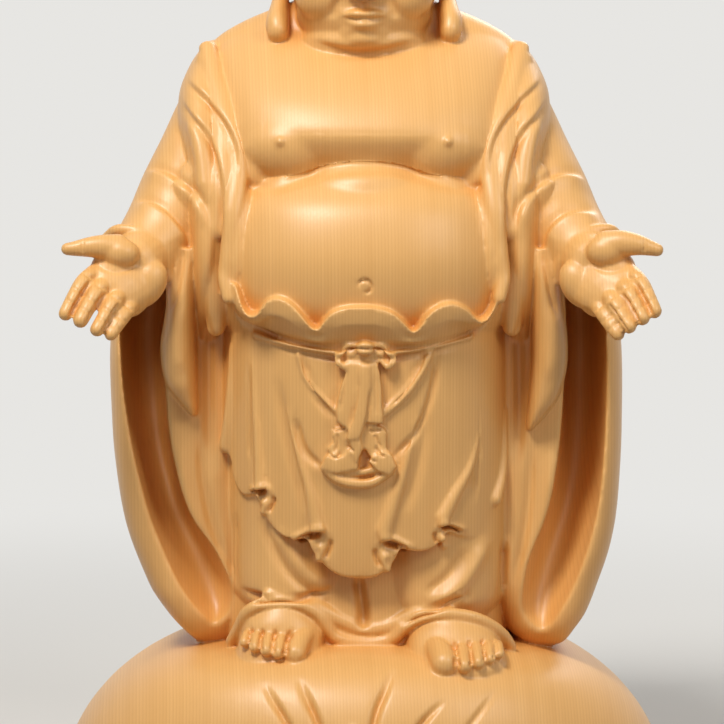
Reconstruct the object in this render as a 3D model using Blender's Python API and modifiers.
"""Standing hotei with open arms, carved with its round plinth from one block of pale wood.

The figure faces -Y, +X is to the right of someone looking at it, and +Z is up. Elevations of the figure
are measured from the crown of the plinth. All sizes are in millimetres, and MM turns them into metres.
"""

import math

import bmesh
import bpy
import numpy as np
from mathutils import Euler, Matrix, Vector

MM = 0.001

# Driving dimensions
PLINTH_HEIGHT = 57.0
PLINTH_HALF_WIDTH = 97.5
PLINTH_HALF_DEPTH = 76.0
FIGURE_HEIGHT = 243.0     # from the crown of the plinth to the crown of the head
DRAWN_HEIGHT = 243.0      # height of the figure for which the tables below are drawn
CUT_DETAIL = 1.2          # voxel with which the carved forms are joined
TRIANGLES = 11600
NIPPLES_APART = 52.0


def clear_scene():
    for obj in list(bpy.data.objects):
        bpy.data.objects.remove(obj)


# Forms: each is a small closed solid, and they are joined into one skin later

def smooth_path(points, steps=6):
    """Points on a Catmull-Rom curve through the given ones, which may have any number of columns."""
    p = np.array(points, float)
    p = np.vstack([2 * p[0] - p[1], p, 2 * p[-1] - p[-2]])
    t = np.linspace(0, 1, steps, endpoint=False)[:, None]
    spans = [
        0.5 * (2 * b + (c - a) * t + (2 * a - 5 * b + 4 * c - d) * t**2 + (3 * b - a - 3 * c + d) * t**3)
        for a, b, c, d in zip(p, p[1:], p[2:], p[3:])
    ]
    return np.vstack([*spans, p[-2]])


def add_object(name, bm):
    mesh = bpy.data.meshes.new(name)
    bm.to_mesh(mesh)
    bm.free()
    obj = bpy.data.objects.new(name, mesh)
    bpy.context.scene.collection.objects.link(obj)
    return obj


def placed(points):
    """Drawn points in metres: what stands above the plinth's crown follows the height of the figure."""
    points = np.array(points, float)
    points[..., 2] *= np.where(points[..., 2] > 0, FIGURE_HEIGHT / DRAWN_HEIGHT, 1)
    return points * MM


def solid_from_rings(name, rings):
    """A closed solid skinned over rings of points, each end closed by a fan."""
    rings = placed(rings)
    around = rings.shape[1]
    bm = bmesh.new()
    grid = [[bm.verts.new(p) for p in ring] for ring in rings]
    for low, high in zip(grid, grid[1:]):
        for i in range(around):
            j = (i + 1) % around
            bm.faces.new((low[i], low[j], high[j], high[i]))
    for ring, points in ((grid[0], rings[0]), (grid[-1], rings[-1])):
        hub = bm.verts.new(points.mean(axis=0))
        for i in range(around):
            bm.faces.new((ring[i], ring[(i + 1) % around], hub))
    bmesh.ops.recalc_face_normals(bm, faces=bm.faces)
    return add_object(name, bm)


def section(turn, cx, half, front, back, square):
    """A level outline: an ellipse with squarer or rounder corners. Angle 0 is the middle of the front."""
    s, c = np.sin(turn), np.cos(turn)
    power = 2 / max(square, 1.2)
    x = cx + max(half, 0.3) * np.sign(s) * np.abs(s) ** power
    y = (front + back) / 2 - max((back - front) / 2, 0.3) * np.sign(c) * np.abs(c) ** power
    return x, y


def stack(name, rows, around=72):
    """A solid through level sections: elevation, centre x, half width, front y, back y and squareness."""
    turn = np.linspace(0, 2 * math.pi, around, endpoint=False)
    rings = []
    for z, *outline in smooth_path(rows):
        x, y = section(turn, *outline)
        rings.append(np.stack([x, y, np.full(around, z)], axis=1))
    return solid_from_rings(name, rings)


def front_of(rows, x, z):
    """Front y of a stacked form at a place seen from the front."""
    table = smooth_path(rows, 8)
    table = table[np.argsort(table[:, 0])]
    cx, half, front, back, square = (np.interp(z, table[:, 0], table[:, k]) for k in range(1, 6))
    share = np.clip(1 - abs((x - cx) / half) ** square, 0, 1) ** (1 / square)
    return (front + back) / 2 - (back - front) / 2 * share


def lay(rows, points, proud=0.0):
    """Lays points of x, elevation and radius on the front of a stacked form."""
    return [(x, front_of(rows, x, z) - proud, z, radius) for x, z, radius in points]


def limb(name, stations, flat=1.0, up=(0, 0, 1), around=20):
    """A round-ended limb through stations of x, y, z and radius; flat squeezes it along its own up side."""
    path = smooth_path(stations)
    points, radii = path[:, :3], np.maximum(path[:, 3], 0.2)
    tangents = np.gradient(points, axis=0)
    tangents /= np.linalg.norm(tangents, axis=1)[:, None]
    caps = [math.radians(a) for a in (80, 60, 40, 20)]
    rows = [(points[0] - tangents[0] * radii[0] * flat * math.sin(a), tangents[0], radii[0] * math.cos(a))
            for a in caps]
    rows += list(zip(points, tangents, radii))
    rows += [
        (points[-1] + tangents[-1] * radii[-1] * flat * math.sin(a), tangents[-1], radii[-1] * math.cos(a))
        for a in caps[::-1]
    ]
    turn = np.linspace(0, 2 * math.pi, around, endpoint=False)[:, None]
    rings = []
    for centre, along, radius in rows:
        side = np.cross(along, up)
        side /= np.linalg.norm(side)
        lift = np.cross(side, along)
        rings.append(centre + radius * (np.cos(turn) * side + flat * np.sin(turn) * lift))
    return solid_from_rings(name, rings)


def blob(name, centre, radii, turn=(0, 0, 0)):
    """An ellipsoid: a primitive sphere, scaled, turned by degrees about x, y and z, and placed."""
    bm = bmesh.new()
    bmesh.ops.create_uvsphere(bm, u_segments=36, v_segments=20, radius=1)
    spin = Euler([math.radians(a) for a in turn]).to_matrix().to_4x4()
    bm.transform(Matrix.Translation(centre) @ spin @ Matrix.Diagonal((*radii, 1)))
    for vertex in bm.verts:
        vertex.co = placed(vertex.co)
    return add_object(name, bm)


def patch(name, rows, outline, proud, sink=1.5):
    """A flat piece of cloth with an outline of x and elevation, laid on the front of a stacked form."""
    bm = bmesh.new()
    sides = [[bm.verts.new(placed((x, front_of(rows, x, z) - lift, z))) for x, z in outline]
             for lift in (proud, -sink)]
    for side in sides:
        bm.faces.new(side)
    for i in range(len(outline)):
        j = (i + 1) % len(outline)
        bm.faces.new((sides[0][i], sides[0][j], sides[1][j], sides[1][i]))
    bmesh.ops.triangulate(bm, faces=bm.faces)
    bmesh.ops.recalc_face_normals(bm, faces=bm.faces)
    return add_object(name, bm)


def band(name, rows, thickness, steps=5):
    """A sheet of cloth through rows of points, given a thickness to both sides with Solidify."""
    along = [smooth_path(row, steps) for row in rows]
    across = [smooth_path(column, steps) for column in np.swapaxes(np.array(along), 0, 1)]
    bm = bmesh.new()
    grid = [[bm.verts.new(placed(p)) for p in line] for line in across]
    for a, b in zip(grid, grid[1:]):
        for i in range(len(a) - 1):
            bm.faces.new((a[i], a[i + 1], b[i + 1], b[i]))
    obj = add_object(name, bm)
    shell = obj.modifiers.new("thickness", "SOLIDIFY")
    shell.thickness = thickness * MM
    shell.offset = 0
    apply_modifiers(obj)
    return obj


def apply_modifiers(obj):
    graph = bpy.context.evaluated_depsgraph_get()
    mesh = bpy.data.meshes.new_from_object(obj.evaluated_get(graph))
    obj.modifiers.clear()
    obj.data = mesh


def hollow(solid, cutters):
    """Cuts closed solids out of another one and removes the cutters."""
    for cutter in cutters:
        cut = solid.modifiers.new("cut", "BOOLEAN")
        cut.operation = "DIFFERENCE"
        cut.object = cutter
        apply_modifiers(solid)
        bpy.data.objects.remove(cutter)
    return solid


def fuse(name, pieces, voxel, relax=0):
    """Joins overlapping pieces into one skin with a voxel Remesh, and relaxes the creases between them."""
    bm = bmesh.new()
    for piece in pieces:
        bm.from_mesh(piece.data)
        bpy.data.objects.remove(piece)
    obj = add_object(name, bm)
    remesh = obj.modifiers.new("skin", "REMESH")
    remesh.mode = "VOXEL"
    remesh.voxel_size = voxel * MM
    if relax:
        smooth = obj.modifiers.new("relax", "SMOOTH")
        smooth.factor = 0.5
        smooth.iterations = relax
    apply_modifiers(obj)
    return obj


def mirrored(points):
    """The same rows on the other side of the figure."""
    return [(-p[0], *p[1:]) for p in points]


# Carving strokes: lines of x and elevation, drawn on the skin from the front or from the back

def carve(obj, strokes, facing=-1, lowest=-99.0):
    """Works strokes into the skin that is turned to -Y (facing -1) or +Y (facing 1).

    A groove sinks and a ridge rises by its depth and fades over its width. A step lifts the side to the
    left of its line, like the edge of an upper layer of cloth. Strokes fade out at both ends.
    """
    mesh = obj.data
    count = len(mesh.vertices)
    spots = np.empty(count * 3, np.float32)
    mesh.vertices.foreach_get("co", spots)
    spots = spots.reshape(-1, 3) / MM
    drawn = spots.copy()
    drawn[:, 2] *= np.where(drawn[:, 2] > 0, DRAWN_HEIGHT / FIGURE_HEIGHT, 1)
    normals = np.empty(count * 3, np.float32)
    mesh.vertex_normals.foreach_get("vector", normals)
    normals = normals.reshape(-1, 3)
    turned = np.clip((facing * normals[:, 1] - 0.2) / 0.4, 0, 1)
    shift = np.zeros(count)
    for kind, depth, width, points in strokes:
        path = smooth_path(points, 4)
        reach = width * (6 if kind == "step" else 2.6)
        low, high = path.min(axis=0) - reach, path.max(axis=0) + reach
        near = np.flatnonzero((turned > 0) & (facing * drawn[:, 1] > lowest)
                              & (drawn[:, 0] > low[0]) & (drawn[:, 0] < high[0])
                              & (drawn[:, 2] > low[1]) & (drawn[:, 2] < high[1]))
        flat = drawn[near][:, (0, 2)]
        starts, spans = path[:-1], np.diff(path, axis=0)
        lengths = np.maximum(np.hypot(*spans.T), 1e-6)
        begun = np.concatenate([[0], np.cumsum(lengths)])
        best = np.full(len(near), 1e9)
        place = np.zeros(len(near))
        side = np.zeros(len(near))
        for start, span, length, before in zip(starts, spans, lengths, begun):
            off = flat - start
            t = np.clip(off @ span / length**2, 0, 1)
            gap = off - t[:, None] * span
            away = np.hypot(gap[:, 0], gap[:, 1])
            closer = away < best
            best = np.where(closer, away, best)
            place = np.where(closer, before + t * length, place)
            side = np.where(closer, span[0] * off[:, 1] - span[1] * off[:, 0], side)
        share = place / begun[-1]
        fade = np.clip(share / 0.2, 0, 1) * np.clip((1 - share) / 0.2, 0, 1)
        if kind == "step":
            away = best * np.sign(side)
            lift = 0.5 * (1 + np.tanh(away / (0.5 * width))) * np.exp(-np.maximum(away, 0) / (2.2 * width))
            amount = depth * (lift - 0.35 * np.exp(-((away + 0.5 * width) / width) ** 2))
        else:
            amount = (depth if kind == "ridge" else -depth) * np.exp(-(best / width) ** 2)
        shift[near] += amount * fade * turned[near]
    spots += normals * shift[:, None]
    mesh.vertices.foreach_set("co", (spots * MM).ravel())
    mesh.update()


# Plinth: a smooth boulder shape, flatter from front to back than from side to side

PLINTH_ROWS = [
    # level, width, depth, squareness
    (0.00, 0.93, 0.93, 2.3), (0.10, 0.975, 0.975, 2.3), (0.24, 1.0, 1.0, 2.3), (0.40, 0.965, 0.985, 2.25),
    (0.54, 0.915, 0.965, 2.3), (0.68, 0.84, 0.93, 2.4), (0.80, 0.74, 0.875, 2.6), (0.89, 0.62, 0.80, 2.8),
    (0.95, 0.48, 0.70, 2.9), (0.985, 0.30, 0.52, 2.8), (1.0, 0.04, 0.15, 2.5),
]


def plinth():
    rows = [
        (PLINTH_HEIGHT * (level - 1), 0, PLINTH_HALF_WIDTH * wide, -PLINTH_HALF_DEPTH * deep,
         PLINTH_HALF_DEPTH * deep, square)
        for level, wide, deep, square in PLINTH_ROWS
    ]
    return stack("plinth", rows, around=96)


# Body

BELLY = [
    (70, 0, 38, -36, 20, 2.3), (88, 0, 42, -43, 20, 2.3), (96, 0, 45, -49.5, 20, 2.3),
    (106, 0, 47.6, -56.5, 20, 2.3), (120, 0, 48, -58.5, 20, 2.3), (134, 0, 46, -55, 20, 2.3),
    (142, 0, 43, -49, 20, 2.3), (148, 0, 39, -40, 18, 2.2), (153, 0, 30, -28, 15, 2.1),
]
CHEST = [
    (143, 0, 31, -28, 10, 2.4), (146, 0, 37, -38, 10, 2.5), (151, 0, 42, -44, 10, 2.5),
    (158, 0, 44, -44.5, 10, 2.5), (167, 0, 45, -40, 10, 2.5), (176, 0, 46.5, -32.5, 10, 2.4),
    (184, 0, 47, -23.5, 10, 2.3), (190, 0, 44, -15, 10, 2.2), (195, 0, 34, -8, 8, 2.1),
]
SHOULDERS = [
    (140, 0, 41, -26, 26, 2.4), (162, 0, 45, -26, 24, 2.4), (177, 0, 50, -22, 20, 2.3),
    (185, 0, 50.5, -17, 17, 2.2), (190, 0, 47.5, -13, 14, 2.2), (195, 0, 39.5, -11, 13, 2.1),
    (199.5, 0, 29, -9, 12, 2.0), (204, 0, 17, -6, 10, 2.0),
]


def torso():
    pieces = [
        stack("belly", BELLY),
        blob("midriff", (0, -33.5, 142.5), (20, 14.5, 10.5)),
        stack("shoulders", SHOULDERS),
        stack("chest", CHEST),
        stack("trunk", [
            (20, 0, 38, -34, 28, 2.4), (60, 0, 41, -38, 32, 2.4), (120, 0, 44, -36, 34, 2.4),
            (160, 0, 44, -24, 30, 2.4), (178, 0, 42, -14, 22, 2.3),
        ]),
    ]
    for side in (-1, 1):
        pieces.append(blob("breast", (side * 24.5, -24.5, 153), (16.5, 20.5, 10.5), (0, side * 4, 0)))
        pieces.append(blob("flank", (side * 36, -25, 147), (9, 13, 9)))
    return pieces


def head():
    pieces = [
        blob("cranium", (0, 4, 216), (25.5, 28, 27)),
        blob("face", (0, -8, 209), (23.8, 21, 23)),
        blob("jaw", (0, -10, 197.5), (21.5, 17.5, 12.5)),
        blob("chin", (0, -23, 191), (8, 5.5, 5)),
        blob("throat", (0, -11, 188.5), (20.5, 15.5, 7.5)),
        limb("neck", [(0, 3, 170, 20), (0, 2, 185, 20), (0, 2, 200, 18)]),
        limb("nose", [(0, -27.5, 216, 1.8), (0, -30, 210, 2.4), (0, -32.3, 205.5, 3.4)]),
        limb("upper_lip", [(-6.5, -26.6, 196.4, 0.9), (-2.6, -28.8, 197.1, 1.5), (0, -29, 196.6, 1.4),
                           (2.6, -28.8, 197.1, 1.5), (6.5, -26.6, 196.4, 0.9)]),
        limb("lower_lip", [(-5, -26.8, 194.6, 0.9), (0, -28.6, 193.6, 1.7), (5, -26.8, 194.6, 0.9)]),
    ]
    for side in (-1, 1):
        pieces += [
            blob("cheek", (side * 12.5, -18.5, 203), (9.5, 9, 8.5)),
            blob("nostril", (side * 3.5, -29, 204.2), (2.3, 2.8, 2.1)),
            limb("brow", [(side * 3.5, -27.5, 219, 1.3), (side * 10, -26, 221.5, 1.5),
                          (side * 17, -20.5, 219.8, 1.2)]),
            blob("eye", (side * 9.6, -23.2, 213.6), (5.4, 3.6, 3.1)),
            blob("ear", (side * 25, 2, 214), (3.2, 6.5, 10), (0, 0, side * 14)),
            blob("ear_base", (side * 25, 3, 214), (3, 5.5, 8.5)),
            limb("ear_rim", [(side * 25.4, -4, 207.5, 1.3), (side * 26.8, -5, 214, 1.4),
                             (side * 28, -3, 221, 1.5), (side * 29, 3, 224, 1.6), (side * 29, 8, 220, 1.6),
                             (side * 28, 9, 212, 1.5), (side * 27, 5, 205, 1.6)], up=(1, 0, 0.1)),
            limb("ear_lobe", [(side * 26, 1, 208, 3.2), (side * 26.8, -5, 201, 3.6),
                              (side * 27.6, -12, 194.5, 4.8), (side * 27.4, -14.5, 191.5, 4.4)],
                 flat=0.8, up=(side, 0, 0)),
        ]
    return pieces


FACE_STROKES = [
    ("groove", 1.3, 3.0, [(4, 216.5), (9.5, 217.6), (15.5, 216)]),
    ("groove", 0.8, 0.8, [(4.6, 213.6), (9.6, 212.3), (14.8, 213.8)]),
    ("groove", 0.4, 0.7, [(4.4, 214.6), (9.6, 216.4), (15.2, 214.6)]),
    ("groove", 0.6, 1.5, [(5.5, 203), (9.2, 199.5), (9.8, 195.5)]),
]
FACE_MIDDLE = [
    ("groove", 0.9, 0.8, [(-7.8, 196.0), (-3, 195.3), (0, 195.5), (3, 195.3), (7.8, 196.0)]),
    ("groove", 0.4, 0.9, [(0, 201), (0, 198)]),
    ("groove", 0.8, 1.6, [(-8, 189.6), (0, 191.2), (8, 189.6)]),
    ("groove", 1.0, 1.4, [(-19, 189.5), (-9, 186), (0, 184.8), (9, 186), (19, 189.5)]),
]


# Arms, sleeves and robe

ARM = [(-38, 4, 176, 15), (-45, -3, 164, 15.5), (-51, -9, 151, 15.5), (-57, -16, 138.5, 15.5),
       (-63, -24, 129, 13.5), (-68.5, -32, 122, 11.8)]

# elevation, outer edge, inner edge, front, back
SLEEVE_LEFT = [
    (-5.5, -52, -45, -15, -1), (-2, -56, -41.5, -23, 9), (3.5, -61.5, -38, -26.5, 17),
    (9.6, -66.2, -36.8, -28, 21),
    (16, -70, -36, -28.5, 24), (34, -77, -34, -28, 30), (55, -80.5, -34, -28, 33), (73, -81.7, -34, -27, 34),
    (91, -82, -34, -26, 34), (110, -80, -34, -25, 32), (125, -76, -34, -24, 30), (140, -70, -34, -20, 28),
    (156, -63, -32, -18, 26), (172, -56.5, -30, -14, 24), (181, -52, -30, -10, 20), (186, -49, -34, -6, 16),
]
# elevation, outer edge, inner edge, floor of the hollow
HOLLOW_LEFT = [
    (3.5, -49.5, -46.5, -25), (6, -52, -43, -22.5), (10, -55.5, -41, -19.5), (17, -60, -41.5, -16.5),
    (26, -64, -46, -13.5), (38, -68.4, -54, -9), (52, -72, -59.3, -3), (64, -74.5, -61.8, 2),
    (78, -76.6, -63, 7),
    (91, -77.6, -63.4, 10), (108, -78, -62, 12), (118, -76, -62, 8),
]
SLEEVE_RIGHT = [
    (-6, 61, 55, -14, 2), (-4, 65, 51, -20, 8), (0, 68, 46, -24, 14), (6, 72, 43, -26, 18),
    (16, 76, 38, -27, 24),
    (26, 79.4, 36, -28, 28), (37, 81.6, 35, -28, 30), (51, 82.8, 34, -28, 33), (66, 83.4, 34, -27, 34),
    (91, 83.2, 34, -26, 34), (110, 80.5, 34, -25, 32), (125, 76, 34, -24, 30), (140, 70, 34, -20, 28),
    (156, 63, 32, -18, 26), (172, 56.5, 30, -14, 24), (181, 52, 30, -10, 20), (186, 49, 34, -6, 16),
]
HOLLOW_RIGHT = [
    (0.5, 58.5, 55, -24.5), (3, 61.5, 52, -22), (7, 64, 49.5, -19.5), (14, 67.5, 49, -16.5),
    (24, 71, 51.5, -13),
    (38, 74.4, 57, -8), (51, 76, 60.6, -3), (64, 76.8, 62.4, 2), (78, 77.2, 63.4, 7), (91, 77, 64, 10),
    (104, 76.6, 64, 12), (118, 75, 63, 8),
]
CUTTER_FRONT = -36


def sleeve(name, rows, cavity):
    outer = stack(name, [
        (z, (a + b) / 2, abs(a - b) / 2, front, back, float(np.interp(z, (110, 150), (4.0, 2.4))))
        for z, a, b, front, back in rows
    ])
    cutter = stack(name + "_cutter", [
        (z, (a + b) / 2, abs(a - b) / 2, 2 * CUTTER_FRONT - back, back, float(np.interp(z, (30, 80),
        (2.0, 3.0))))
        for z, a, b, back in cavity
    ])
    return hollow(outer, [cutter])


LIP_LEFT = [
    (70.5, -54, 1.0, -31, -22, 2), (73.5, -55.2, 2.4, -33.5, -20, 2.2), (77, -56.8, 3.8, -35.5, -18, 2.3),
    (81, -58, 4.9, -37.5, -17, 2.4), (87, -58.7, 5.5, -38.5, -16, 2.4), (94, -58.8, 5.6, -39, -14, 2.4),
    (100, -58.3, 5.1, -39.2, -13, 2.4), (106, -57.8, 4.8, -39.5, -12, 2.4),
    (113, -57.6, 5.2, -39.5, -12, 2.4),
    (124, -57, 6.5, -38, -12, 2.4),
]
LIP_RIGHT = [
    (66, 52.4, 1.0, -31, -22, 2), (70, 54.4, 2.8, -33.5, -20, 2.2), (75, 56.6, 4.4, -36, -18, 2.3),
    (81, 58, 5.2, -37.5, -17, 2.4), (88, 58.8, 5.6, -38.5, -16, 2.4), (97, 58.6, 5.6, -39, -14, 2.4),
    (107, 57.6, 5.0, -39.5, -12, 2.4), (116, 57, 5.6, -39.5, -12, 2.4), (124, 56.4, 6.6, -38, -12, 2.4),
]
PANEL = [
    (84, -49, 2.4, -18, 10, 2.4), (94, -49.4, 4.6, -27, 10, 2.4), (106, -49.4, 5.8, -36, 8, 2.3),
    (118, -49.2, 6.8, -41, 6, 2.1), (132, -48.8, 8.4, -40.5, 6, 2.0), (146, -48.4, 9.2, -36.5, 6, 2.0),
    (160, -50, 9.2, -31.2, 8, 2.0), (172, -51, 8.4, -24.5, 10, 2.1), (181, -51.5, 6.4, -16, 10, 2.1),
    (187, -50, 4, -7, 8, 2.0),
]
COLLAR = [
    (-50, -8.5, 186.5, 3.0), (-47.6, -17.4, 177.5, 3.4), (-43.6, -25.6, 168, 3.6), (-40.4, -31.4, 158.5, 3.5),
    (-39.2, -36, 149, 3.2), (-40.2, -40.6, 138.5, 3.0), (-42, -43.4, 127, 2.8), (-43, -44.6, 116, 2.7),
    (-42, -46, 109, 2.4),
]


COLLAR_BED = [
    (-50, -10.5, 182, 4), (-46.8, -18.5, 173, 4.6), (-44, -25, 164, 5.2), (-42.8, -30, 154, 5.2),
    (-43.4, -34.5, 143, 5.2), (-45, -37, 130, 4.6),
]


def robe():
    back = stack("robe_back", [
        (-4, 0, 48, -10, 26, 2.6), (4, 0, 52, -14, 33, 2.6), (30, 0, 54, -14, 36, 2.6),
        (70, 0, 54, -12, 38, 2.6),
        (110, 0, 54, -8, 37, 2.6), (145, 0, 52, -4, 35, 2.5), (170, 0, 48, 0, 31, 2.4),
        (182, 0, 44, 4, 26, 2.2),
        (190, 0, 34, 8, 22, 2.0),
    ])
    pieces = [
        back,
        limb("neck_roll", [(-50, -7, 185.6, 3.0), (-47, 5, 186, 3.6), (-33, 14, 187.5, 4.4),
                           (0, 18, 189, 5.0), (33, 14, 187.5, 4.4), (47, 5, 186, 3.6), (50, -7, 185.6, 3.0)]),
        stack("lip_left", LIP_LEFT),
        stack("lip_right", LIP_RIGHT),
        stack("panel_left", PANEL),
        stack("panel_right", [(z, -cx, *rest) for z, cx, *rest in PANEL]),
        limb("collar_left", COLLAR, flat=0.8),
        limb("collar_right", mirrored(COLLAR), flat=0.8),
        limb("collar_bed_left", COLLAR_BED),
        limb("collar_bed_right", mirrored(COLLAR_BED)),
        blob("elbow_fold_left", (-55.8, -27, 139), (4.6, 7.4, 10), (0, 8, 0)),
        blob("elbow_fold_right", (55.8, -27, 139), (4.6, 7.4, 10), (0, -8, 0)),
        limb("cuff_left", [(-81, -34, 127.5, 1.4), (-77, -37.5, 129.8, 1.8), (-70.5, -39, 129.2, 1.9),
                           (-65.5, -39.5, 126.2, 1.9), (-62.4, -39.5, 121.5, 1.9), (-61, -38, 115, 1.6)]),
        limb("cuff_right", [(80.5, -34, 127.5, 1.4), (76.5, -37.5, 130, 1.8), (70, -39, 129, 1.9),
                            (65, -39.5, 125.6, 1.9), (61.8, -39.5, 120.5, 1.9), (60.8, -38, 114, 1.6)]),
    ]
    return pieces


ROBE_LEFT = [
    ("groove", 1.9, 1.4, [(-56, 181), (-49.5, 172.5), (-44.2, 162), (-42, 151), (-42.4, 141)]),
    ("groove", 2.0, 1.5, [(-60, 174), (-53.5, 166), (-48.4, 157), (-45.4, 147), (-44.8, 136)]),
    ("groove", 1.6, 1.7, [(-58, 163), (-54, 152), (-50.6, 142), (-48.6, 131)]),
    ("ridge", 1.0, 2.6, [(-56.5, 176), (-50.6, 167.5), (-46, 157.5), (-43.8, 146)]),
    ("ridge", 1.0, 2.6, [(-57, 167), (-52, 157), (-48.6, 146), (-47, 136)]),
    ("step", 2.2, 1.6, [(-49, 131), (-51.5, 138.7), (-56.7, 143.4), (-63.6, 147.2), (-72, 148)]),
    ("step", 2.0, 1.5, [(-55, 124), (-57, 129), (-61.6, 134.4), (-67, 137.5), (-74, 138)]),
    ("groove", 1.5, 2.0, [(-49, 104), (-49.2, 91), (-49.2, 68.4), (-48.6, 50)]),
    ("groove", 1.2, 1.2, [(-56, 126), (-57, 118.8), (-58.4, 112), (-61.2, 104)]),
    ("ridge", 0.9, 2.0, [(-58.4, 106), (-58.8, 96), (-58, 84)]),
    ("groove", 1.4, 1.6, [(-52.4, 66), (-51, 48), (-47, 31), (-42, 20)]),
    ("ridge", 1.0, 1.8, [(-58.4, 62), (-57, 48), (-52.6, 33), (-46, 22), (-41, 13)]),
]
ROBE_RIGHT = [
    ("groove", 1.9, 1.4, [(57, 179), (50, 171.5), (44, 161.5), (41.6, 151), (41.8, 141)]),
    ("groove", 2.0, 1.5, [(60.5, 174), (53.2, 166), (48, 157), (45, 147), (44.4, 136)]),
    ("groove", 1.6, 1.7, [(58, 163), (54, 152), (50.6, 142), (48.4, 131)]),
    ("ridge", 1.0, 2.6, [(57, 175), (50.8, 167.5), (46, 158), (43.4, 147)]),
    ("ridge", 1.0, 2.6, [(57, 168), (52.4, 159), (48.8, 148), (46.8, 137)]),
    ("step", 2.2, 1.6, [(73, 144), (63.9, 146.6), (56, 143.7), (49.6, 137.4), (46.8, 127)]),
    ("step", 2.0, 1.5, [(75, 134), (70.1, 134.9), (63.8, 134.4), (58.5, 130), (56, 123)]),
    ("groove", 1.5, 2.0, [(48.6, 104), (49, 88), (49.2, 70), (48.6, 52)]),
    ("groove", 1.2, 1.2, [(56, 125), (57, 117), (58.6, 110), (61.2, 102)]),
    ("ridge", 0.9, 2.0, [(58.6, 106), (59, 96), (58.2, 82)]),
    ("groove", 1.4, 1.6, [(53, 62), (52.6, 46), (50.6, 30), (47.6, 16)]),
    ("ridge", 1.0, 1.8, [(59.4, 60), (58.4, 46), (55.4, 30), (51.4, 17), (48.6, 6)]),
]


# Waist frill, belt, skirt, bow and tails

SKIRT = [
    (104, 0, 45, -51, 30, 2.4), (94, 0, 46, -52.5, 32, 2.4), (75, 0, 46.8, -52.4, 34, 2.4),
    (50, 0, 47.5, -51, 34, 2.4), (30, 0, 47, -49.5, 34, 2.4), (15, 0, 46, -47, 34, 2.4),
]
HEM = [(-62, 66), (-49, 62), (-44, 59.5), (-42.2, 57), (-41.3, 50.5), (-39.2, 47), (-37.5, 46.2),
       (-34.4, 47.4),
       (-32.8, 44), (-31.2, 40.2), (-28.8, 36.8), (-25, 34.4), (-21.7, 33.6), (-18.2, 34.4), (-16.4, 30),
       (-13.3, 26.2), (-10.9, 23.9), (-7, 22), (0.2, 21.4), (3.6, 22), (7.6, 24), (9.8, 27.4), (11.6, 31.4),
       (14.7, 30.4), (18.3, 29.9), (21.9, 30.8), (24.6, 33), (26.2, 35.8), (28.3, 35.4), (30.6, 34),
       (34.2, 33.2),
       (37.4, 34), (40, 37), (43, 37), (45.5, 35.5), (49, 40), (62, 44)]
FRILL_WAIST = [(-43.5, 107), (-36.2, 102.2), (-25.1, 98.2), (-13, 95.8), (0, 96.2), (10.5, 95.6),
               (21.3, 96.2), (35.2, 100.4), (44, 109)]
FRILL_EDGE = [
    (-44, 113, 0.5), (-41, 112.5, 1.5), (-38.4, 108, 3.5), (-35, 103.6, 5.0), (-31.5, 104.8, 4.5),
    (-28, 108.4, 2.0),
    (-25, 108.4, 1.5), (-21.8, 105, 3.0), (-17.2, 100.6, 5.0), (-13, 101, 4.8), (-9.6, 104, 3.0),
    (-3.1, 105.8, 1.8),
    (5, 104.8, 2.0), (10.4, 102, 3.5), (14.4, 99.2, 5.2), (18.4, 101.6, 4.5), (23, 106.4, 2.0),
    (27, 107, 1.6),
    (31, 103.4, 4.0), (35.4, 102, 5.0), (39.2, 105.5, 3.5), (42, 112, 1.5), (45, 118, 0.5),
]
RIDGES = [
    [(-43.5, 61, 2.6), (-42.6, 70, 2.0), (-42, 82, 1.4), (-41.8, 93, 0.8)],
    [(-32.2, 50.5, 2.4), (-32.8, 60, 1.8), (-33.8, 74, 1.3), (-34.6, 88, 0.7)],
    [(-14.6, 38.5, 2.6), (-16.6, 47, 2.2), (-20.4, 59, 1.6), (-24.2, 75, 0.8)],
    [(6.2, 36.5, 2.6), (9, 45, 2.2), (12.4, 56, 1.6), (16.4, 72, 0.8)],
    [(24.6, 40.4, 2.5), (28.3, 47.5, 2.0), (33.2, 56, 1.4), (36, 66, 0.7)],
    [(41.2, 44.4, 2.4), (43.2, 51, 2.0), (44.2, 60, 1.4), (44.4, 72, 0.8)],
]
CURLS = [
    # x, elevation, side to which the mouth opens, size
    (-32.4, 48.2, 1, 0.85), (-15.3, 35.4, 1, 1.0), (8.2, 32.6, -1, 1.0), (26.0, 37.2, -1, 0.8),
    (42.4, 38.6, -1, 0.7),
]


def frill():
    """The gathered top edge of the skirt: a roll at the waist, a hollow over it and a thin waving rim."""
    edge = smooth_path(FRILL_EDGE, 4)
    waist = np.array(FRILL_WAIST)
    rows = [[] for _ in range(5)]
    for x, z, flare in edge:
        z0 = np.interp(x, waist[:, 0], waist[:, 1])
        y0, y1 = front_of(SKIRT, x, z0), front_of(BELLY, x * 0.97, z)
        rows[0].append((x, y0 - 0.6, z0))
        rows[1].append((x, y0 - 2.4 - 0.2 * flare, z0 + 0.22 * (z - z0)))
        rows[2].append((x, min(y0, y1) - 1.0 - 0.4 * flare, z0 + 0.62 * (z - z0)))
        rows[3].append((x, y1 - 1.6 - 0.75 * flare, z))
        rows[4].append((x * 0.98, y1 + 1.5, z + 0.6))
    return band("frill", rows, 2.4, steps=1)


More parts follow.
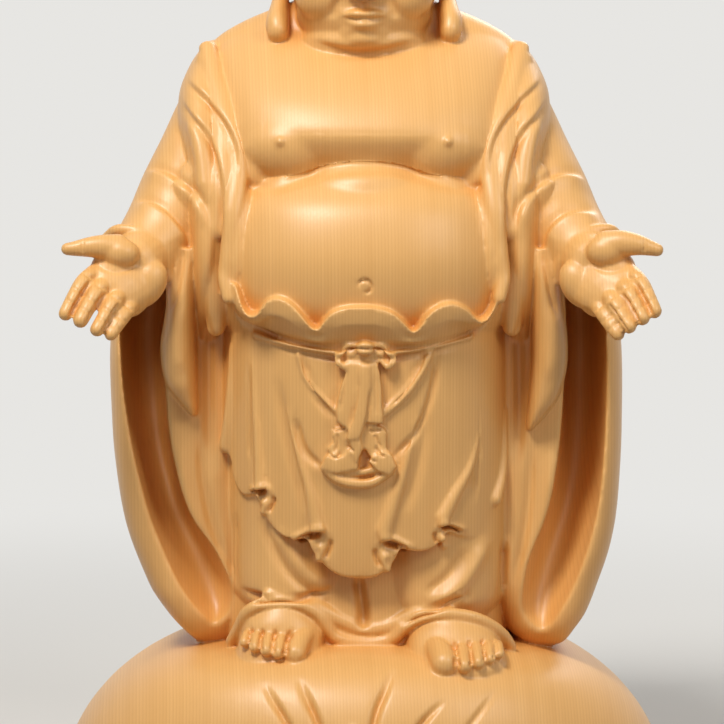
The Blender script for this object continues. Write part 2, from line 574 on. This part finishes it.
def skirt(around=240, levels=26):
    """The apron-like skirt: its hem runs in scallops, and its underside is open a little way up."""
    top = 104.0
    table = smooth_path(SKIRT, 8)
    turn = np.linspace(0, 2 * math.pi, around, endpoint=False)
    hem_x, hem_z = np.array(HEM).T

    def ring(level, inset=0.0):
        half, front, back = (np.interp(-level, -table[:, 0], table[:, k]) for k in (2, 3, 4))
        s, c = np.sin(turn), np.cos(turn)
        power = 2 / 2.4
        x = (half - inset) * np.sign(s) * np.abs(s) ** power
        y = (front + back) / 2 - ((back - front) / 2 - inset) * np.sign(c) * np.abs(c) ** power
        return x, y

    x0, _ = ring(np.full(around, 40.0))
    hem = np.interp(x0, hem_x, hem_z)
    hem = np.where(np.cos(turn) < -0.2, 30.0, hem)
    rings = []
    for share in np.linspace(0, 1, levels):
        z = top + (hem - top) * share
        rings.append(np.stack([*ring(z), z], axis=1))
    for inset, rise in ((2.0, -0.6), (3.6, 1.5), (5.0, 7.0), (9.0, 10.0)):
        rings.append(np.stack([*ring(hem, inset), hem + rise], axis=1))
    return solid_from_rings("skirt", rings)


# name, height over the skirt, outline
TAILS = [
    ("tail_left", 3.0, [(-4.2, 91.4), (-0.6, 91.4), (-1.4, 80.7), (-3, 74.1), (-4.2, 70.2), (-5.9, 68.8),
                        (-8.3, 71.2), (-8.6, 74.3), (-7.4, 80.9), (-5.8, 86.6)]),
    ("tail_middle", 4.8, [(-1.4, 91.4), (2.2, 91.4), (1.9, 80.7), (1.5, 72.2), (0.8, 66.4), (-5.3, 65.4),
                          (-4.1, 70.3), (-2.7, 75.1), (-1.7, 81.7)]),
    ("tail_right", 3.2, [(1.6, 91.4), (4.6, 90.4), (5.6, 80.7), (5.9, 74.1), (5.7, 68.7), (1.0, 70.1),
                         (1.2, 76), (1.7, 83.6)]),
    ("end_left", 2.0, [(-9.8, 68.8), (-5.2, 69.4), (-4.4, 64.5), (-6.9, 60.2), (-9.9, 60.2), (-11.4, 62.3),
                       (-9.2, 64.8)]),
    ("fold_left", 3.2, [(-13.3, 56.4), (-11.8, 60.4), (-9, 61.2), (-6.8, 60), (-4.4, 62.9), (-1.4, 62),
                        (-1.9, 56.2), (-8.2, 55)]),
    ("end_middle", 3.8, [(-4.6, 66.4), (-1.4, 66.4), (-0.4, 62.8), (-2.1, 58.6), (-4.2, 61.8)]),
    ("end_right", 2.2, [(0.8, 70.6), (5.7, 69.4), (7.1, 67.5), (6.6, 62.8), (8.5, 60.2), (3.1, 58.6),
                        (0.2, 62.6), (-0.8, 66)]),
    ("fold_right", 3.4, [(2.6, 60.4), (5.4, 62), (8.4, 61), (10, 57), (7.9, 54.4), (4, 55.9), (1.5, 58.8)]),
]


def skirt_trim():
    pieces = [limb("ridge", lay(SKIRT, ridge, -0.4), around=14) for ridge in RIDGES]
    pieces += [
        limb("bow_left", lay(SKIRT, [(-1.6, 94.6, 1.5), (-4.6, 94.8, 2.0), (-7.2, 93, 2.2), (-7.8, 90, 2.0),
                                     (-5.9, 88, 1.7)], 2.6), flat=0.8, up=(0, 1, 0)),
        limb("bow_right", lay(SKIRT, [(1.6, 94.6, 1.5), (4.8, 94.8, 2.0), (7.6, 93, 2.2), (8.6, 90.2, 2.0),
                                      (6.6, 88.2, 1.7)], 2.6), flat=0.8, up=(0, 1, 0)),
        blob("bow_core", (0.2, front_of(SKIRT, 0, 92) - 0.6, 91.8), (6, 2.4, 3.0)),
        blob("knot", (0.3, front_of(SKIRT, 0, 94.4) - 4.4, 94.2), (3.0, 2.4, 2.2)),
        limb("belt", lay(SKIRT, [(-34, 97.4, 1.2), (-24, 95, 1.6), (-12, 93.4, 1.8), (0, 93.2, 1.8),
                                 (12, 93.4, 1.8),
                                 (22, 94.6, 1.6), (33, 97, 1.2)], 0.6)),
        limb("loop", lay(SKIRT, [(-12.6, 56.6, 1.2), (-9.2, 53.6, 1.4), (-5.4, 52, 1.5), (0, 51.6, 1.5),
                                 (3.4, 52.4, 1.4), (8.2, 55.4, 1.2)], 1.2)),
        limb("loop_inner", lay(SKIRT, [(-8.4, 56.2, 1.1), (-3.4, 54.9, 1.1), (3.2, 56, 1.1)], 1.0)),
        limb("swag_left", lay(SKIRT, [(-20.6, 93, 0.9), (-18.2, 85, 1.0), (-14, 78.8, 1.1),
                                      (-8.6, 74.2, 1.0)], 0.2)),
        limb("swag_right", lay(SKIRT, [(21.6, 95.4, 1.0), (18.4, 88.4, 1.5), (12.8, 80.2, 1.7),
                                       (6, 73.6, 1.4)], 0.3)),
    ]
    for name, proud, outline in TAILS:
        pieces.append(patch(name, SKIRT, outline, proud))
    return pieces


SKIRT_STROKES = [
    ("groove", 1.0, 1.0, [(-34, 95.6), (-12, 91.2), (0, 90.8), (12, 91.2), (34, 95.2)]),
    ("groove", 1.3, 1.2, [(-19.6, 92), (-18, 86), (-15.6, 80), (-12, 75), (-9, 71.5)]),
    ("groove", 1.3, 1.2, [(-21.6, 72), (-19.6, 64), (-16.8, 59.4), (-12.5, 56)]),
    ("groove", 1.4, 1.1, [(23, 94), (22, 85.3), (20, 76), (16.3, 67.5), (11.4, 62), (7.6, 58.6)]),
    ("groove", 1.2, 1.1, [(19, 92), (15.6, 85.5), (11.4, 79.4), (7, 74.6)]),
    ("groove", 1.1, 1.6, [(-27, 84), (-24.6, 68), (-21, 54), (-18.4, 42)]),
    ("groove", 1.1, 1.8, [(-38, 88), (-38, 70), (-37.6, 54)]),
    ("groove", 1.0, 1.8, [(20, 74), (17.4, 58), (12.6, 42)]),
    ("groove", 1.1, 2.0, [(39.6, 76), (38, 60), (33.6, 44)]),
    ("ridge", 1.4, 1.5, [(-41.8, 61), (-40.4, 57.6), (-40.2, 54), (-41.4, 50)]),
    ("groove", 1.2, 0.8, [(-38.4, 57.5), (-38.6, 54), (-40.4, 50.2)]),
    ("groove", 4.0, 2.2, [(-44.8, 59), (-44.9, 54), (-45.8, 47)]),
    ("groove", 1.2, 0.8, [(-1.2, 91), (-1.6, 82), (-3.2, 74.4), (-4.8, 68)]),
    ("groove", 1.2, 0.8, [(2.0, 91), (1.9, 81), (1.5, 73), (0.6, 66)]),
    ("groove", 0.9, 0.6, [(-2.6, 93.4), (-4.8, 93), (-5.8, 90.6)]),
    ("groove", 0.9, 0.6, [(3, 93.4), (5.2, 93), (6.4, 90.8)]),
    ("groove", 1.6, 0.9, [(-43, 105.4), (-36.2, 100.6), (-25.1, 96.6), (-13, 94.2), (0, 94), (10.5, 94),
                          (21.3, 94.6), (35.2, 98.8), (43.4, 107)]),
    ("groove", 0.8, 0.6, [(-1.8, 112.6), (-1.2, 114.8), (1, 115.2), (2.2, 113.4), (1.4, 111.6),
                          (-0.6, 111.6)]),
]


def curl(x, z, side, size):
    """Strokes of a turned-back scallop: its dark mouth, the fold over it, the roll below and its crease."""
    def at(points):
        return [(x + side * size * along, z + size * up) for along, up in points]
    return [
        ("ridge", 1.4, 1.5 * size, at([(-4, 1.4), (-0.4, 2.8), (3.8, 2.0)])),
        ("ridge", 1.7, 1.7 * size, at([(3.2, -1.4), (2.2, -4.6), (0.2, -8)])),
        ("groove", 3.2, 1.1 * size, at([(-4, -1.8), (-0.4, 0.2), (3.4, 0.1)])),
        ("groove", 1.6, 0.9 * size, at([(5.6, -0.6), (4.8, -4.4), (2.2, -8)])),
    ]


# Trouser legs, feet and hands

LEGS = [
    (-6, 0, 44, -38, 26, 2.8), (0, 0, 46, -41.2, 30, 2.8), (10, 0, 45.5, -41, 30, 2.8),
    (25, 0, 44, -39, 30, 2.7), (60, 0, 42, -37, 30, 2.5),
]
HEM_RIM = [
    (-42, -34, -1, 2.0), (-39.4, -38, 4.5, 2.0), (-36.9, -41.5, 9.6, 2.0), (-32.2, -43, 12.4, 2.0),
    (-26.2, -43.6, 13.3, 2.0), (-20.2, -43.4, 12.5, 2.0), (-14.6, -42.6, 9.2, 2.0), (-11.8, -42, 5.2, 2.0),
    (-9.8, -41.4, 2.2, 2.0), (-6.8, -41, 0.5, 2.1), (-3.2, -40.8, -0.1, 2.1), (1.5, -40.8, -0.5, 2.1),
    (7, -41, 0.3, 2.1), (10.2, -41.8, 2.2, 2.0), (12.8, -42.8, 5.2, 2.0), (16.4, -43.8, 8, 2.0),
    (21.4, -44.4, 9.4, 2.0), (28, -44.6, 9.5, 2.0), (34.6, -43.6, 8.2, 2.0), (40.2, -41, 5.2, 2.0),
    (44, -38, 1.6, 2.0), (46.4, -35, -2.4, 2.0),
]


def legs():
    pieces = [
        stack("hem_robe", LEGS),
        limb("hem_rim", HEM_RIM),
        limb("swag_low", [(-30, -41.5, 15, 2.2), (-18, -41.5, 12.6, 2.4), (-8, -40, 7, 2.6),
                          (0, -39.6, 4.2, 2.8),
                          (8, -40, 5, 2.6), (18, -41.5, 10, 2.4), (30, -41.5, 14.6, 2.2)]),
    ]
    for cx, low in ((-25, 13), (26, 11)):
        pieces.append(stack("leg", [
            (low - 6, cx, 15, -40, 10, 2.3), (low, cx, 18, -43, 16, 2.3), (low + 5, cx, 18.5, -43.5, 16, 2.3),
            (low + 20, cx * 0.98, 19.5, -42.5, 20, 2.3), (60, cx * 0.9, 20.5, -43, 20, 2.3),
        ]))
    return pieces


TOE_STROKES = [
    ("groove", 1.3, 0.7, [(-35.1, 5.2), (-35.7, 2.6), (-36.1, 0.2)]),
    ("groove", 1.3, 0.7, [(-31.6, 5.4), (-32.2, 2.4), (-32.5, -1.2)]),
    ("groove", 1.3, 0.7, [(-27.6, 5.4), (-28.2, 2), (-28.6, -2)]),
    ("groove", 1.4, 0.8, [(-22.8, 5.2), (-24, 1.4), (-24.9, -2.6)]),
    ("groove", 1.4, 0.8, [(28.2, 2), (28.6, -1.6), (28.9, -5.4)]),
    ("groove", 1.3, 0.7, [(32.9, 2.4), (33.2, -1.4), (33.4, -4.8)]),
    ("groove", 1.3, 0.7, [(37.2, 2.4), (37.3, -1), (37.4, -3.8)]),
    ("groove", 1.2, 0.7, [(40.8, 1.6), (40.8, -0.6), (40.7, -2.8)]),
]
LEG_STROKES = [
    ("groove", 2.2, 1.2, [(-40, 15.6), (-30, 13.8), (-20, 14.4), (-9, 16.6)]),
    ("groove", 2.2, 1.2, [(34, 15.4), (25.8, 12.8), (19, 9.8), (11, 6)]),
    ("groove", 3.0, 1.8, [(-2.2, 22), (-0.9, 14), (-0.2, 8.4), (-0.3, 3.7)]),
    ("groove", 1.2, 1.6, [(-33, 40), (-26.4, 26.2), (-19.4, 18), (-10.7, 14.2)]),
    ("ridge", 1.3, 2.4, [(-28, 37), (-20.6, 25), (-11, 17)]),
    ("ridge", 1.6, 2.4, [(39, 33), (34.4, 24), (28.5, 16.6), (20, 12)]),
    ("groove", 1.2, 1.8, [(32, 30), (27, 22), (19, 15.4)]),
    ("groove", 1.6, 1.2, [(44.6, 31), (44.2, 20), (42.6, 10)]),
    ("groove", 1.6, 1.2, [(-41, 40), (-41.6, 26), (-41, 14)]),
]


def foot(name, rows, toes):
    """A bare foot under the trouser hem: a rounded instep, then five toes from the big one outwards."""
    pieces = [stack(name, rows)]
    for (x0, y0, z0), (x1, y1, z1), radius in toes:
        middle = ((x0 + x1) / 2, (y0 + y1) / 2, (z0 + z1) / 2 + 0.7, radius * 0.96)
        pieces.append(limb(name + "_toe", [(x0, y0, z0, radius), middle, (x1, y1, z1, radius)], around=16))
    return pieces


def feet():
    left = foot("foot_left", [
        (-12, -27.4, 12.4, -53, -24, 2.2), (-6, -27.2, 13.4, -54, -24, 2.3),
        (-2.5, -26.6, 13.6, -53, -26, 2.3),
        (3, -25.6, 13, -49, -28, 2.2), (7, -26, 11.4, -47.5, -30, 2.1), (10.5, -26, 7.6, -45.5, -31, 2.1),
        (12.5, -26.2, 3, -43.5, -32, 2.0),
    ], [
        ((-18.6, -45, 2.4), (-21.4, -53.4, -1.4), 3.3), ((-25.3, -45.5, 2.4), (-26.7, -54.6, -1.0), 2.1),
        ((-29.6, -45.5, 2.6), (-30.5, -53.8, -0.4), 2.0), ((-33.3, -44.5, 2.8), (-34.2, -51.8, 0.3), 1.9),
        ((-36.5, -42.5, 2.8), (-37.4, -48.6, 1.2), 1.7),
    ])
    right = foot("foot_right", [
        (-14, 30, 14, -58, -24, 2.2), (-8, 30, 15, -59.6, -24, 2.3), (-5, 29.6, 15.4, -58.6, -26, 2.3),
        (0, 28, 14.8, -52.5, -28, 2.2), (4, 27.6, 12.6, -49.5, -30, 2.1), (7.4, 27.2, 8.2, -46.5, -31, 2.1),
        (9.2, 27, 3, -44.5, -32, 2.0),
    ], [
        ((22, -50, -0.8), (24.7, -59.4, -3.6), 3.9), ((30.5, -50, -0.6), (31.1, -60.2, -4.2), 2.3),
        ((34.9, -49.5, -0.4), (35.4, -58.6, -3.4), 2.1), ((39, -47.5, -0.3), (39.1, -56, -2.6), 1.9),
        ((42, -44.5, -0.3), (42.1, -52.4, -1.8), 1.7),
    ])
    return left + right


PALM_FACES = (0.5, -0.6, 0.62)


def hand(name, palm, wrist, thumb, fingers, mounds, faces):
    pieces = [limb(name + "_palm", palm, flat=0.5, up=faces)]
    pieces.append(limb(name + "_wrist", wrist))
    pieces.append(limb(name + "_thumb", thumb))
    for stations in fingers:
        pieces.append(limb(name + "_finger", stations, around=14))
    for centre, radii, turn in mounds:
        pieces.append(blob(name + "_mound", centre, radii, turn))
    return pieces


def hands():
    left = hand(
        "left_hand",
        palm=[(-68.5, -39, 121.5, 8), (-72, -44.5, 117.6, 11), (-75.4, -49, 114.6, 11),
              (-77.4, -51.4, 112.6, 9.8)],
        wrist=[(-66, -28, 123, 9.5), (-71, -41, 120, 9)],
        thumb=[(-76.5, -49.5, 124.6, 4.2), (-80.5, -51, 125.4, 3.3), (-85, -52, 125.8, 2.7),
               (-91.2, -52.6, 125, 1.9)],
        fingers=[
            [(-83.6, -51.5, 116.6, 2.5), (-87, -58.4, 111.8, 2.6), (-90.8, -63.4, 106, 2.0)],
            [(-79.9, -52.5, 113.6, 2.5), (-83.3, -60, 108.8, 2.6), (-86.2, -65.4, 103.4, 2.1)],
            [(-75.6, -52.5, 110.6, 2.4), (-78.8, -60, 105.8, 2.5), (-81.8, -64.8, 100.8, 2.0)],
            [(-71.6, -51.5, 107.6, 2.2), (-74.6, -58, 102.8, 2.2), (-77.2, -62.2, 98.4, 1.8)],
        ],
        mounds=[((-75.6, -50, 123.2), (6.2, 5, 4.8), (0, 8, 0)), ((-68, -46, 113.4), (6.2, 5.2, 8.4),
                (0, 35, 0)),
                ((-70.2, -48.6, 108.6), (3.6, 4, 6.4), (0, 38, 0))],
        faces=PALM_FACES,
    )
    right = hand(
        "right_hand",
        palm=[(68.5, -39, 121.5, 8), (71.6, -44.5, 117.4, 11.2), (74.8, -49, 114.2, 11.2),
              (76.8, -51.4, 112.2, 10)],
        wrist=[(66, -28, 123, 9.5), (71, -41, 120, 9)],
        thumb=[(75.2, -49.5, 125.6, 4.6), (79.6, -51, 126.6, 3.9), (84.6, -52, 126, 3.2),
               (90, -52.6, 124.4, 2.1)],
        fingers=[
            [(83, -51.5, 116.4, 2.6), (85.8, -58.4, 111.6, 2.7), (88.6, -63.4, 106.6, 2.2)],
            [(79.4, -52.5, 113.6, 2.5), (82.2, -60, 108.8, 2.6), (84.8, -65, 104.6, 2.2)],
            [(75.2, -52.5, 110.6, 2.5), (78.3, -60, 105.8, 2.5), (81, -64.8, 101.8, 2.1)],
            [(71.2, -51.5, 107.6, 2.2), (74.6, -58, 103, 2.3), (77.8, -62.4, 98.8, 1.9)],
        ],
        mounds=[((75, -50, 124), (6.4, 5, 5.2), (0, -8, 0)), ((67.4, -46, 113.2), (6.2, 5.2, 8.4),
                (0, -35, 0)),
                ((69.8, -48.6, 108.6), (3.6, 4, 6.4), (0, -38, 0))],
        faces=(-PALM_FACES[0], *PALM_FACES[1:]),
    )
    return left + right


HAND_STROKES = [
    ("groove", 1.3, 0.8, [(-84, 114.2), (-87, 109.8), (-89.8, 104.6)]),
    ("groove", 1.3, 0.8, [(-79.3, 110.6), (-82, 106), (-84.4, 100.6)]),
    ("groove", 1.3, 0.8, [(-74.1, 107.6), (-77, 103), (-79.6, 98.2)]),
    ("groove", 1.3, 0.8, [(83.4, 113.8), (86, 109), (88.2, 104.2)]),
    ("groove", 1.3, 0.8, [(78.5, 110), (81.4, 105.6), (84, 101.2)]),
    ("groove", 1.3, 0.8, [(73.9, 107.4), (77, 103), (79.9, 98.3)]),
]
PLINTH_STROKES = [
    ("groove", 1.9, 1.1, [(-31, -9), (-28.8, -12.8), (-24, -20), (-17, -32), (-8, -48)]),
    ("groove", 2.2, 1.2, [(-20.5, -7.5), (-18, -12.3), (-13.5, -21.9), (-9, -34), (-4, -50)]),
    ("groove", 2.2, 1.2, [(9.5, -4.5), (6.6, -10.5), (4, -16.5), (2.4, -24), (1, -38), (0, -50)]),
    ("groove", 1.9, 1.1, [(25, -13.5), (18.8, -19.2), (13.5, -26), (8, -37), (3, -50)]),
    ("groove", 0.9, 1.1, [(41.5, -11), (33, -21), (22, -34), (10, -49)]),
    ("ridge", 1.2, 1.4, [(-3.2, -19.5), (-3.4, -26), (-2.4, -38), (-1, -50)]),
]
CHEST_STROKES = [
    ("step", 2.0, 1.6, [(-38, 146), (-35, 144.8), (-28, 144), (-19.8, 146.6), (-10.3, 149), (-0.9, 150),
                        (8.6, 149.6), (18, 147.2), (27.5, 144.2), (34.5, 144), (38, 145.4)]),
]
BACK_STROKES = [
    ("step", 2.6, 2.4, [(40, 182), (22, 164), (0, 157), (-22, 164), (-40, 182)]),
    ("step", 2.6, 2.4, [(46, 166), (26, 140), (0, 130), (-26, 140), (-46, 166)]),
    ("step", 2.6, 2.4, [(50, 146), (29, 114), (0, 101), (-29, 114), (-50, 146)]),
    ("step", 2.4, 2.4, [(53, 124), (32, 86), (0, 70), (-32, 86), (-53, 124)]),
    ("groove", 2.2, 2.4, [(-34, 60), (-31, 32), (-27, 3)]),
    ("groove", 2.0, 2.4, [(-14, 46), (-12.5, 24), (-10, 3)]),
    ("groove", 2.2, 2.4, [(9, 44), (9.5, 24), (8, 3)]),
    ("groove", 2.0, 2.4, [(31, 58), (30, 32), (26, 3)]),
    ("groove", 2.4, 2.6, [(-52, 138), (-54, 100), (-53, 50), (-46, 6)]),
    ("groove", 2.4, 2.6, [(52, 138), (54, 100), (53, 50), (48, 6)]),
    ("groove", 1.8, 2.4, [(-66, 128), (-69, 90), (-67, 45), (-58, 10)]),
    ("groove", 1.8, 2.4, [(66, 128), (70, 90), (69, 45), (62, 10)]),
]


def flatten_base(obj):
    """Planes the underside flat where the plinth stands."""
    bm = bmesh.new()
    bm.from_mesh(obj.data)
    level = -PLINTH_HEIGHT * MM
    cut = bmesh.ops.bisect_plane(bm, geom=bm.verts[:] + bm.edges[:] + bm.faces[:],
                                 plane_co=(0, 0, level), plane_no=(0, 0, -1), clear_outer=True)
    edges = [e for e in cut["geom_cut"] if isinstance(e, bmesh.types.BMEdge)]
    bmesh.ops.contextual_create(bm, geom=edges)
    bmesh.ops.triangulate(bm, faces=bm.faces)
    bm.to_mesh(obj.data)
    bm.free()


def sculpt(voxel):
    """The whole figure as one skin, with its carving strokes."""
    finer = (1.5 / voxel) ** 2
    flesh = fuse("flesh", torso(), voxel, relax=round(6 * finer))
    face = fuse("head", head(), voxel, relax=round(2 * finer))
    cloth = fuse("sleeves", [
        sleeve("sleeve_left", SLEEVE_LEFT, HOLLOW_LEFT),
        sleeve("sleeve_right", SLEEVE_RIGHT, HOLLOW_RIGHT),
        limb("arm", ARM, around=36),
        limb("arm", mirrored(ARM), around=36),
    ], voxel, relax=round(3 * finer))
    nipples = [blob("nipple", (x, front_of(CHEST, x, 157.4) - 0.6, 157.4), (1.6, 1.6, 1.6))
               for x in (-NIPPLES_APART / 2, NIPPLES_APART / 2)]
    body = fuse("hotei_figure", [plinth(), flesh, face, cloth, skirt(), frill()] + robe() + skirt_trim()
                + legs() + feet() + hands() + nipples, voxel, relax=max(1, round(0.8 * finer)))
    other = [(kind, d, w, [(-x, z) for x, z in points]) for kind, d, w, points in FACE_STROKES]
    carve(body, FACE_STROKES + other + FACE_MIDDLE, lowest=18)
    carve(body, CHEST_STROKES, lowest=24)
    carve(body, ROBE_LEFT + ROBE_RIGHT)
    carve(body, HAND_STROKES, lowest=44)
    carve(body, SKIRT_STROKES + [stroke for spot in CURLS for stroke in curl(*spot)], lowest=40)
    carve(body, LEG_STROKES + TOE_STROKES + PLINTH_STROKES, lowest=26)
    carve(body, BACK_STROKES, facing=1, lowest=4)
    flatten_base(body)
    body.data.transform(Matrix.Translation((0, 0, PLINTH_HEIGHT * MM)))
    return body


def wood():
    material = bpy.data.materials.new("wood")
    material.use_nodes = True
    shader = material.node_tree.nodes["Principled BSDF"]
    shader.inputs["Base Color"].default_value = (0.66, 0.41, 0.17, 1)
    shader.inputs["Roughness"].default_value = 0.42
    shader.inputs["Metallic"].default_value = 0.0
    return material


def build(voxel=CUT_DETAIL, triangles=TRIANGLES):
    body = sculpt(voxel)
    thin = body.modifiers.new("thin", "DECIMATE")
    thin.ratio = min(1.0, triangles / len(body.data.polygons))
    apply_modifiers(body)
    for face in body.data.polygons:
        face.use_smooth = True
    body.data.materials.append(wood())
    home = bpy.data.collections.new("hotei")
    bpy.context.scene.collection.children.link(home)
    for place in list(body.users_collection):
        place.objects.unlink(body)
    home.objects.link(body)
    return body


if __name__ == "__main__":
    clear_scene()
    build()
